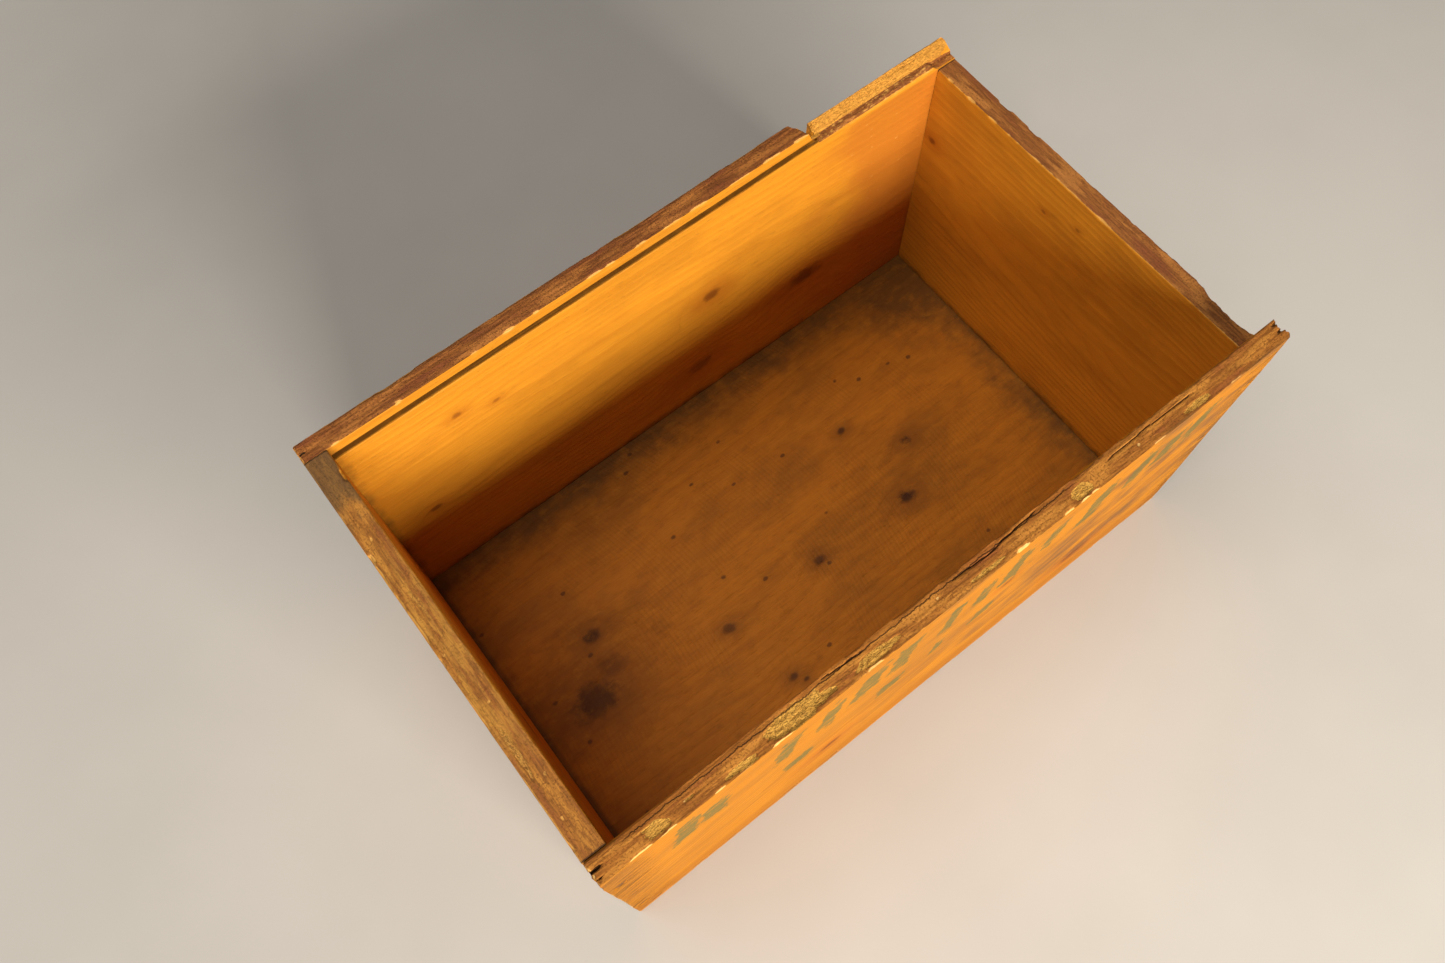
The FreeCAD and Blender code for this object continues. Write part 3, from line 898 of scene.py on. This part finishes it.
def left_end():
    """The left end, full height, with worn arrises, chips and small flakes on its rim."""
    outer, inner = LEFT_LOW[0], LEFT_HIGH[0]
    piece = end_board("left_end_plank", outer, inner, LEFT_LOW, LEFT_HIGH, 62, grooved=True)
    rng = np.random.default_rng(61)
    outer_chips = [(43.4, 3, 1.4), (10, 9, 0.9), (-30, 8, 0.8)]
    outer_chips += random_chips(rng, -90, 90, 14, (2, 8), (0.3, 0.7))
    wear_arris(piece, (outer, 0, RIM), (-1, 0, 1), (0.3, 0.7), outer_chips, 64, 0.72, 0.8)
    inner_chips = [(80.5, 4, 1.2)] + random_chips(rng, -90, 90, 10, (1.5, 5), (0.3, 0.6))
    wear_arris(piece, (inner, 0, RIM), (1, 0, 1), (0.3, 0.8), inner_chips, 65, 0.45, 0.5)
    flake_off(piece, RIM, (outer + 5.5, 20), (1.2, 9), 0.3, 66, strength=0.5)
    flake_off(piece, RIM, (outer + 3.5, -48), (1.4, 12), 0.35, 67, strength=0.6)
    for from_outer, y in ((4.8, 50.5), (2.2, -3.8), (5.8, -28.2), (7.4, -61), (3.6, -77)):
        dab(piece, RIM, (outer + from_outer, y), 0.7)
    end_grime_and_shade(piece, inner, RIM)
    finish_piece(piece.settle(), "left_end_board", left_end_material())


def right_end():
    """The right end, below the lid's path, its top worn away outside near the near side."""
    outer, inner, top = RIGHT_HIGH[0], RIGHT_LOW[0], RIGHT_HIGH[2]
    piece = end_board("right_end_plank", outer, inner, RIGHT_LOW, RIGHT_HIGH, 82, grooved=False)
    rng = np.random.default_rng(81)
    inner_chips = [(85, 2, 0.8), (71, 3.5, 0.8), (56, 3, 0.8), (30, 5, 0.5), (-12, 4, 0.6)]
    inner_chips += random_chips(rng, -90, 90, 22, (0.8, 4), (0.2, 0.5))
    wear_arris(piece, (inner, 0, top), (-1, 0, 1), (0.3, 0.7), inner_chips, 84, 0.55, 0.9)
    outer_chips = [(-78, 16, 2.6)] + random_chips(rng, -90, 90, 14, (2, 9), (0.4, 1.0))
    wear_arris(piece, (outer, 0, top), (1, 0, 0.55), (0.4, 0.9), outer_chips, 85, 0.3, 0.35)
    end_grime_and_shade(piece, inner, top)
    finish_piece(piece.settle(), "right_end_board", right_end_material())


def bottom():
    """The bottom board, with dirt and painted shade where it meets the walls."""
    low, high = BOTTOM_LOW, BOTTOM_HIGH
    corners = [(low[1], low[2]), (low[1], high[2]), (high[1], high[2]), (high[1], low[2])]
    outline = rounded_outline(corners, 0.5, lambda point: 1.3 if 1 < point[1] else 2.0)
    places = stations(low[0], high[0], 0.8, 1.5, 8)
    piece = Piece(swept("bottom_plank", outline, places, "X", 2.5), "X")
    rng = np.random.default_rng(91)
    bow(piece, 0.15, (90, 60, 40), 92)
    for y, way in ((low[1], -1), (high[1], 1)):
        for z, up in ((low[2], -1), (high[2], 1)):
            chips = random_chips(rng, -165, 165, 12, (1.5, 6), (0.4, 0.9))
            wear_arris(piece, (0, y, z), (0, way, up), (0.3, 0.7), chips, 93, 0.4, 0.7)
    for x, way in ((low[0], -1), (high[0], 1)):
        wear_arris(piece, (x, 0, low[2]), (way, 0, -1), (0.4, 1.0), [], 94)
        wear_arris(piece, (x, 0, high[2]), (way, 0, 1), (0.2, 0.6), [], 95)
        for y, side in ((low[1], -1), (high[1], 1)):
            wear_arris(piece, (x, y, 0), (way, side, 0), (0.5, 1.2), [], 96)
    sink_heads(piece, heads_in("bottom_nails"), 2, low[2])
    floor_dirt_and_shade(piece)
    finish_piece(piece.settle(), "bottom_board", bottom_material())


def floor_dirt_and_shade(piece):
    """Dirt and painted shade round the floor's edges, deepest in the far right corner."""
    x, y, z = piece.points.T
    far, right, left = LEFT_HIGH[1] - y, RIGHT_LOW[0] - x, x - LEFT_HIGH[0]
    to_wall = np.minimum(LEFT_HIGH[1] - np.abs(y), RIGHT_LOW[0] - np.abs(x))
    upper = z > FLOOR - 1
    # Dirt and painted shade along each wall and the left and right edges, deepest in the far right corner.
    for distance, reach, full, strength in (
        (far, 30, 0, 0.72), (left, 30, -4, 0.35), (right, 30, 0, 0.6), (to_wall, 6, 0, 0.8),
        (np.hypot(right, far), 82, 14, 0.95),
    ):
        piece.mark("grime", upper * strength * ramp(-distance, -reach, -full))


# ---------------------------------------------------------------- nails


def nail_groups():
    """For each CAD nail node: its name here, its heads' middles, its direction and length."""
    groups = {}
    for end in ("left", "right"):
        for side, way in (("near", 1), ("far", -1)):
            node = f"corner_nails_{side}_{end}"
            low, high = node_box(node)
            x, y = (low[0] + high[0]) / 2, (low[1] if way == 1 else high[1])
            heights = np.linspace(low[2] + HEAD_RADIUS, high[2] - HEAD_RADIUS, CORNER_ROWS)
            heads = [(x, y, z) for z in heights]
            groups[node] = (f"{side}_{end}_corner_nails", heads, (0, way, 0), high[1] - low[1])
    for wall in ("near", "far", "left", "right"):
        axis, count = (0, BOTTOM_PER_SIDE) if wall in ("near", "far") else (1, BOTTOM_PER_END)
        node = f"bottom_nails_{wall}"
        low, high = node_box(node)
        heads = np.tile((low + high) / 2, (count, 1))
        heads[:, axis] = np.linspace(low[axis] + HEAD_RADIUS, high[axis] - HEAD_RADIUS, count)
        heads[:, 2] = 0
        groups[node] = (f"underside_nails_{wall}", list(heads), (0, 0, 1), high[2])
    return groups


NAIL_GROUPS = nail_groups()


def heads_in(beginning):
    """The middles of the heads in the nail nodes whose names begin so."""
    groups = [group for node, group in NAIL_GROUPS.items() if node.startswith(beginning)]
    return [centre for group in groups for centre in group[1]]


def nail_mesh(name, centres, direction, length, seed):
    """Old wire nails, heads a little domed and askew, driven along direction."""
    rng = np.random.default_rng(seed)
    profile = [
        (0.0, 0.34), (0.7, 0.32), (1.3, 0.36), (1.75, 0.42), (2.05, 0.5), (2.15, 0.66),
        (2.1, 0.95), (1.9, 1.12), (1.1, 1.2), (0.98, 1.5), (0.96, 2.4), (0.98, length * 0.5),
        (0.96, length - 3.2), (0.55, length - 1.4), (0.0, length),
    ]
    turns = 26
    points, faces = [], []
    down = np.array(direction, float)
    side = np.cross(down, (0.31, 0.77, 0.55))
    side /= np.linalg.norm(side)
    third = np.cross(down, side)
    for centre in centres:
        lean = rng.uniform(-0.03, 0.03, 2)
        first = len(points)
        dents = rng.uniform(-0.06, 0.06, (len(profile), turns))
        for row, (radius, depth) in enumerate(profile):
            for turn in range(turns if radius > 0 else 1):
                angle = 2 * math.pi * turn / turns
                reach = radius * (1 + (dents[row, turn] if depth < 1.2 else 0))
                across, up = reach * math.cos(angle), reach * math.sin(angle)
                sink = depth + (lean @ (across, up) if depth < 1.2 else 0)
                points.append(np.array(centre) + down * sink + side * across + third * up)
        ring = [first] + [first + 1 + row * turns for row in range(len(profile) - 2)]
        last = len(points) - 1
        for turn in range(turns):
            following = (turn + 1) % turns
            faces.append((first, ring[1] + turn, ring[1] + following))
            for upper, lower in zip(ring[1:-1], ring[2:]):
                faces.append((upper + turn, lower + turn, lower + following, upper + following))
            faces.append((ring[-1] + turn, last, ring[-1] + following))
    obj = make_object(name, points, faces)
    obj.data.polygons.foreach_set("use_smooth", np.ones(len(obj.data.polygons), bool))
    obj.data.set_sharp_from_angle(angle=math.radians(40))
    return obj


def all_nails():
    material = nail_material()
    for number, (node, (name, centres, direction, length)) in enumerate(NAIL_GROUPS.items()):
        finish_piece(nail_mesh(name, centres, direction, length, 200 + number), node, material)


# ---------------------------------------------------------------- materials


def near_side_material():
    tones = dict(
        PINE_TONES, early=(0.56, 0.225, 0.012), late=(0.36, 0.118, 0.006), streak=(0.44, 0.155, 0.008),
        arris=(0.80, 0.50, 0.17), raw=(0.76, 0.42, 0.085), raw_dark=(0.56, 0.27, 0.048),
        figure=0.6, soil=0.4, gloss=0.6, shine=0.1, checks=0.12, **rim_tones(0.43, 0.165, 0.030),
    )
    knots = [(-60, 60, 4.5, 0.8), (96, 44, 6, 0.85), (30, 120, 2.2, 0.7)]
    return pine("pine_near_side", "X", (-128, 78, 0.02, 0.03), 3.4, knots, tones, near_side_marks)


def near_side_marks(graph):
    """Stains outside that grow towards the right as painted shade, worn ink outside, and a long fine crack
    in the rim.
    """
    outside = graph.band(graph.across, NEAR_LOW[1] + 1.2, NEAR_LOW[1] + 0.9)
    stain = graph.band(graph.streaks(34, 16, 4.0, 0.6), 0.38, 0.72)
    # The stains grow from 0.3 to full towards the right, as painted shade where the light falls off along
    # the face.
    stain_and_shade_to_right = graph.band(graph.along, -60, 90, 0.3, 1.0)
    clean_foot = graph.band(graph.up, NEAR_LOW[2] + 24, NEAR_LOW[2] + 32, 0.35, 1)
    graph.paint(graph.times(stain, stain_and_shade_to_right, clean_foot, outside), (0.20, 0.088, 0.026))
    graph.paint(graph.times(graph.band(graph.up, 36, 22, 0, 0.45), outside), (0.30, 0.10, 0.008))
    worn_ink(graph, outside)
    rim_crack(graph)


# Plain upright blots of worn ink: middle x and z, half width, half height.
INK_BLOTS = [
    (-134, 143, 4.5, 15), (-121, 139, 5.0, 11), (-87, 142, 4.5, 15), (-66, 140, 4.0, 14),
    (-47, 143, 6.0, 13), (-29, 141, 5.5, 15), (-4, 142, 3.5, 15), (13, 140, 4.0, 10),
    (30, 141, 4.5, 15), (48, 143, 4.0, 12), (75, 141, 5.0, 15), (99, 141, 4.5, 14),
    (115, 139, 5.0, 12), (133, 142, 5.0, 14), (-79, 92, 6.5, 6), (-30, 95, 6.0, 7),
    (-4, 101, 3.0, 7), (22, 97, 5.0, 6),
]


def worn_ink(graph, outside):
    """Worn grey-green blots in a row along the outer face, and a few below."""
    nearest = 9.0
    for middle_x, middle_z, half_wide, half_high in INK_BLOTS:
        up = graph.math("SUBTRACT", graph.up, middle_z)
        across = graph.scaled(up, -0.12, graph.math("SUBTRACT", graph.along, middle_x))
        across = graph.math("DIVIDE", graph.math("ABSOLUTE", across), half_wide)
        up = graph.math("DIVIDE", graph.math("ABSOLUTE", up), half_high)
        nearest = graph.math("MINIMUM", graph.math("MAXIMUM", across, up), nearest)
    inked = graph.band(graph.scaled(graph.streaks(7, 5, 5.0, 0.65), 2.6, nearest), 2.45, 2.33)
    left = graph.band(graph.streaks(7, 1.1, 5.0, 0.7), 0.36, 0.50)
    graph.paint(graph.times(inked, left, outside, 0.85), (0.115, 0.115, 0.035))


def rim_crack(graph):
    """A thin wavering crack near the rim's inner arris, the wood inside it redder."""
    wander = graph.noise(1.0, 5.0, 0.75, graph.vector("MULTIPLY", graph.place, (1 / 6, 0, 0)))
    line = graph.scaled(wander, 3.8, NEAR_HIGH[1] - 4.2)
    off = graph.math("SUBTRACT", graph.across, line)
    top = graph.band(graph.up, RIM - 1.6, RIM - 1.2)
    span = graph.times(graph.band(graph.along, -158, -150), graph.band(graph.along, 60, 50), top)
    graph.paint(graph.times(graph.band(off, 0.0, 0.3, 0, 0.6), span), (0.36, 0.125, 0.022))
    thin = graph.times(graph.band(graph.math("ABSOLUTE", off), 0.34, 0.10), span)
    graph.paint(graph.times(thin, 0.85), "crack")
    graph.lift(thin, -2.0)


def far_side_material():
    tones = dict(
        PINE_TONES, raw=(0.74, 0.35, 0.05), raw_dark=(0.58, 0.24, 0.03),
        figure=0.17, soil=0.3, gloss=0.4, pitted=0.15, **rim_tones(0.31, 0.105, 0.021),
    )
    knots = [
        (-108.7, 139.2, 1.8, 0.6), (-90.3, 130.6, 1.3, 0.5), (-136.9, 75.3, 2.0, 0.7),
        (26.6, 98.5, 3.6, 0.75), (87.0, 57.2, 6.5, 0.8), (16.8, 38.8, 5.0, 0.6),
    ]
    return pine("pine_far_side", "X", (136, 96, 0.03, -0.02), 3.8, knots, tones, far_side_marks)


def far_side_marks(graph):
    """The redder right part of the inner face, and small pale scuffs over it."""
    inside = graph.band(graph.across, FAR_LOW[1] + 1.2, FAR_LOW[1] + 0.8)
    below_groove = graph.band(graph.up, GROOVE_FLOOR - 2, GROOVE_FLOOR - 5)
    reach = graph.scaled(graph.streaks(40, 30), 110, graph.along)
    redder = graph.times(graph.band(reach, 135, 185, 0, 0.8), inside, below_groove)
    graph.paint(redder, (0.52, 0.165, 0.018))
    scuff = graph.band(graph.streaks(3.2, 2.2, 2.0), 0.70, 0.76, 0, 0.6)
    graph.paint(graph.times(scuff, redder), (0.80, 0.42, 0.10))


def left_end_material():
    tones = dict(PINE_TONES, figure=0.4, soil=0.4, **rim_tones(0.43, 0.17, 0.028))
    knots = [(-20, 90, 5, 0.8)]
    return pine("pine_left_end", "Y", (-196, 70, 0.03, 0.02), 3.2, knots, tones, left_end_marks)


def left_end_marks(graph):
    """The rim's middle, rubbed paler than its ends, and a grey far corner."""
    top = graph.band(graph.up, RIM - 1.4, RIM - 1.0)
    middle = graph.band(graph.math("ABSOLUTE", graph.math("ADD", graph.along, 6)), 62, 26)
    patchy = graph.band(graph.streaks(16, 2.4, 4.0, 0.65), 0.38, 0.62, 0, 0.6)
    graph.paint(graph.times(top, middle, patchy), (0.58, 0.29, 0.050))
    fine = graph.band(graph.streaks(9, 0.6, 4.0, 0.7), 0.50, 0.62, 0, 0.55)
    graph.paint(graph.times(fine, top), (0.20, 0.075, 0.018))
    edge = graph.scaled(graph.streaks(9, 4, 4.0), 40, graph.along)
    graph.paint(graph.times(graph.band(edge, 78, 92, 0, 0.7), top), (0.125, 0.075, 0.032))


def right_end_material():
    tones = dict(PINE_TONES, figure=0.15, soil=0.4, gloss=0.42, **rim_tones(0.36, 0.13, 0.028))
    knots = [(15.6, 134.6, 0.9, 0.5), (-3.8, 141.7, 0.9, 0.5), (87, 114.5, 1.8, 0.7)]
    return pine("pine_right_end", "Y", (196, 92, 0.05, 0.04), 3.6, knots, tones)


def bottom_material():
    tones = dict(
        PINE_TONES, early=(0.53, 0.195, 0.009), late=(0.36, 0.115, 0.005), streak=(0.40, 0.13, 0.006),
        dirt=(0.22, 0.082, 0.006), stain=(0.20, 0.068, 0.006), knot=(0.06, 0.02, 0.004),
        figure=0.2, soil=0.5, gloss=0.5, **rim_tones(0.3, 0.11, 0.02),
    )
    knots = [
        (64.8, -23.0, 3.2, 1.0), (85.4, 2.2, 2.3, 1.0), (61.8, 27.7, 1.7, 0.85),
        (5.8, -22.1, 2.3, 0.85), (-53.7, -21.7, 2.4, 0.7), (-111.3, 17.5, 3.4, 0.85),
        (-43.3, -61.1, 1.8, 0.8), (-39, -66, 1.2, 0.8), (-128.7, -9.7, 8.5, 0.8), (-112, -1, 5.5, 0.4),
    ]
    pith = (20, -52, 0.03, 0.02)
    return pine("pine_bottom", "X", pith, 4.2, knots, tones, bottom_marks, flat=(1, 1, 0))


def bottom_marks(graph):
    """The bottom board's mottling, scattered specks and the faint arcs a saw left across it."""
    mottle = graph.streaks(11, 6, 5.0, 0.7)
    graph.paint(graph.band(mottle, 0.50, 0.74, 0, 0.32), (0.19, 0.068, 0.006))
    graph.paint(graph.band(mottle, 0.50, 0.28, 0, 0.30), (0.62, 0.245, 0.014))
    cells = {"Vector": graph.squeezed(24, 17), "Scale": 1.0}
    specks = graph.node("TexVoronoi", cells).outputs["Distance"]
    specks = graph.scaled(graph.noise(0.5), 0.06, specks)
    graph.paint(graph.band(specks, 0.11, 0.07, 0, 0.7), (0.07, 0.024, 0.005))
    bow = graph.times(graph.across, graph.across, 0.0022)
    wave = graph.math("SINE", graph.times(graph.math("ADD", graph.along, bow), 2.6))
    patchy = graph.band(graph.noise(0.03), 0.45, 0.6, 0, 0.09)
    sawn = graph.times(graph.band(wave, -0.2, 1.0), patchy)
    graph.paint(sawn, (0.16, 0.065, 0.008))
    graph.lift(sawn, -2.0)


def nail_material():
    """Rusty iron: brown scale with darker pits and a dull grey where it has rubbed."""
    graph = Graph("nail_rusty_iron")
    scale = graph.noise(1.3, 5.0, 0.7)
    graph.colour = graph.blend(graph.band(scale, 0.4, 0.62), (0.055, 0.03, 0.018), (0.16, 0.062, 0.02))
    graph.paint(graph.band(scale, 0.62, 0.74, 0, 0.6), (0.2, 0.17, 0.14))
    graph.height = graph.scaled(graph.band(graph.noise(3.1), 0.35, 0.5), 0.6, scale)
    graph.shader.inputs["Metallic"].default_value = 0.35
    return graph.finish(graph.band(scale, 0.3, 0.7, 0.55, 0.85), bump_depth=0.25, bump_strength=0.9)


# ---------------------------------------------------------------- stage, light and camera


def stage_floor():
    """A pale floor 8 m wide, a hair below the box."""
    graph = Graph("pale_floor")
    tone = graph.band(graph.noise(0.004, 4.0, 0.6), 0.3, 0.7)
    colour = graph.blend(tone, (0.50, 0.49, 0.475), (0.54, 0.53, 0.515))
    graph.feed(graph.shader.inputs["Base Color"], colour)
    graph.shader.inputs["Roughness"].default_value = 0.85
    places = np.linspace(-4000, 4000, 41)
    x, y = np.meshgrid(places, places)
    points = np.column_stack((x.ravel(), y.ravel(), np.full(x.size, -0.05)))
    number = np.arange(x.size).reshape(x.shape)
    corners = (number[:-1, :-1], number[:-1, 1:], number[1:, 1:], number[1:, :-1])
    faces = np.stack(corners, axis=-1).reshape(-1, 4).tolist()
    floor = make_object("studio_floor", points, faces)
    floor.data.materials.append(graph.material)


def area_light(name, direction, distance, size, power, colour):
    """A soft lamp that faces the middle of the box from a direction."""
    lamp = bpy.data.lights.new(name, "AREA")
    lamp.shape = "RECTANGLE"
    lamp.size, lamp.size_y = size
    lamp.energy = power
    lamp.color = colour
    obj = bpy.data.objects.new(name, lamp)
    target = Vector((0, 0, RIM / 2 * MM))
    obj.location = target + Vector(direction).normalized() * distance
    obj.rotation_euler = (target - obj.location).to_track_quat("-Z", "Y").to_euler()
    bpy.context.scene.collection.objects.link(obj)


def lights():
    area_light("key_light", (-0.22, -2.25, 1.0), 1.9, (1.2, 0.55), 64, (1.0, 0.91, 0.78))
    area_light("top_fill", (-0.32, 0.1, 1.0), 2.0, (1.2, 1.2), 18.5, (1.0, 0.93, 0.84))
    world = bpy.data.worlds.new("studio")
    world.use_nodes = True
    background = world.node_tree.nodes["Background"]
    background.inputs["Color"].default_value = (1.0, 0.95, 0.89, 1)
    background.inputs["Strength"].default_value = 0.10
    bpy.context.scene.world = world


def camera():
    """Looks down into the box from its near left, turned a little about the line of sight."""
    data = bpy.data.cameras.new("camera")
    data.lens = 29.43
    data.sensor_width = 36.0
    obj = bpy.data.objects.new("camera", data)
    obj.location = (-0.1474, -0.1531, 0.5891)
    aim = Vector((-0.02625, 0.01691, 0.087))
    turn = (aim - obj.location).to_track_quat("-Z", "Y").to_matrix()
    obj.rotation_euler = (turn @ Matrix.Rotation(math.radians(-2.506), 3, "Z")).to_euler()
    bpy.context.scene.collection.objects.link(obj)
    bpy.context.scene.camera = obj


# ---------------------------------------------------------------- the box

near_side()
far_side()
left_end()
right_end()
bottom()
all_nails()
stage_floor()
lights()
camera()
bpy.context.scene.view_settings.view_transform = "Standard"

bpy.context.view_layer.update()
